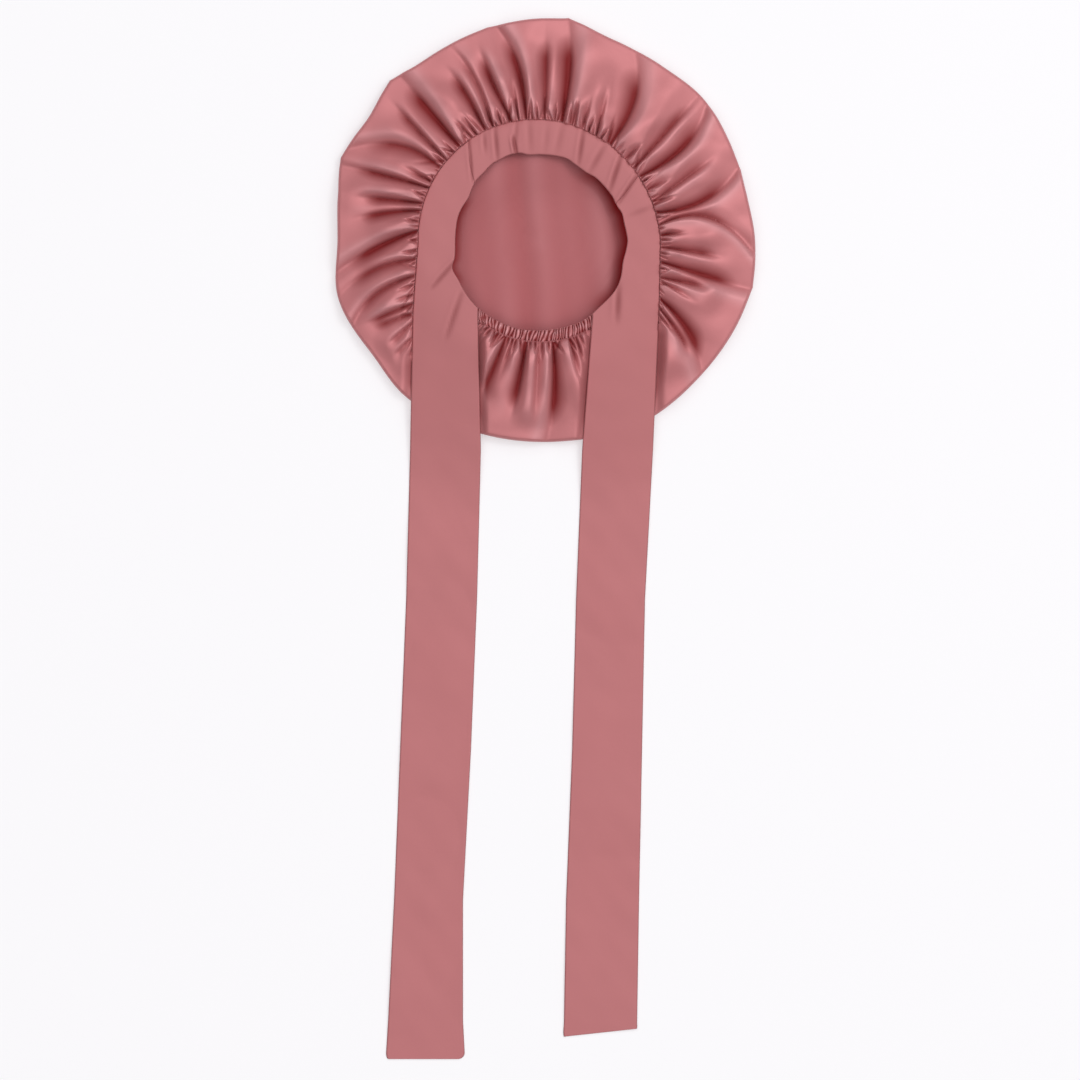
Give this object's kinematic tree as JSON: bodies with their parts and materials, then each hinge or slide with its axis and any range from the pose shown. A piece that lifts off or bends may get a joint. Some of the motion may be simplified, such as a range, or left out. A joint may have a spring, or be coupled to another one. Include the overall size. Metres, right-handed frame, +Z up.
{
  "type": "satin sleep bonnet with long ties",
  "caption": "Gathered satin sleep bonnet lying flat, opening up, with a folded front band, a shirred elastic nape channel and long flat ties.",
  "frame": {"origin": "on the floor, under the centre of the head opening, on the crown's flat back", "axes": "+Z up and out of the opening, -Y along the ties, +X to the right when seen from above with the ties pointing down"},
  "size_m": [0.3612, 0.8955, 0.0263],
  "materials": {
    "crown_satin": "dusty rose satin, glossy side out, soft sheen on the folds",
    "band_satin": "dusty rose satin, pressed flat, low sheen",
    "casing_satin": "dusty rose satin, finely shirred over elastic"
  },
  "bodies": {
    "root": {"crown": "crown_satin", "front_band": "band_satin", "nape_casing": "casing_satin", "tie_left": "band_satin", "tie_right": "band_satin"}
  },
  "joints": []
}
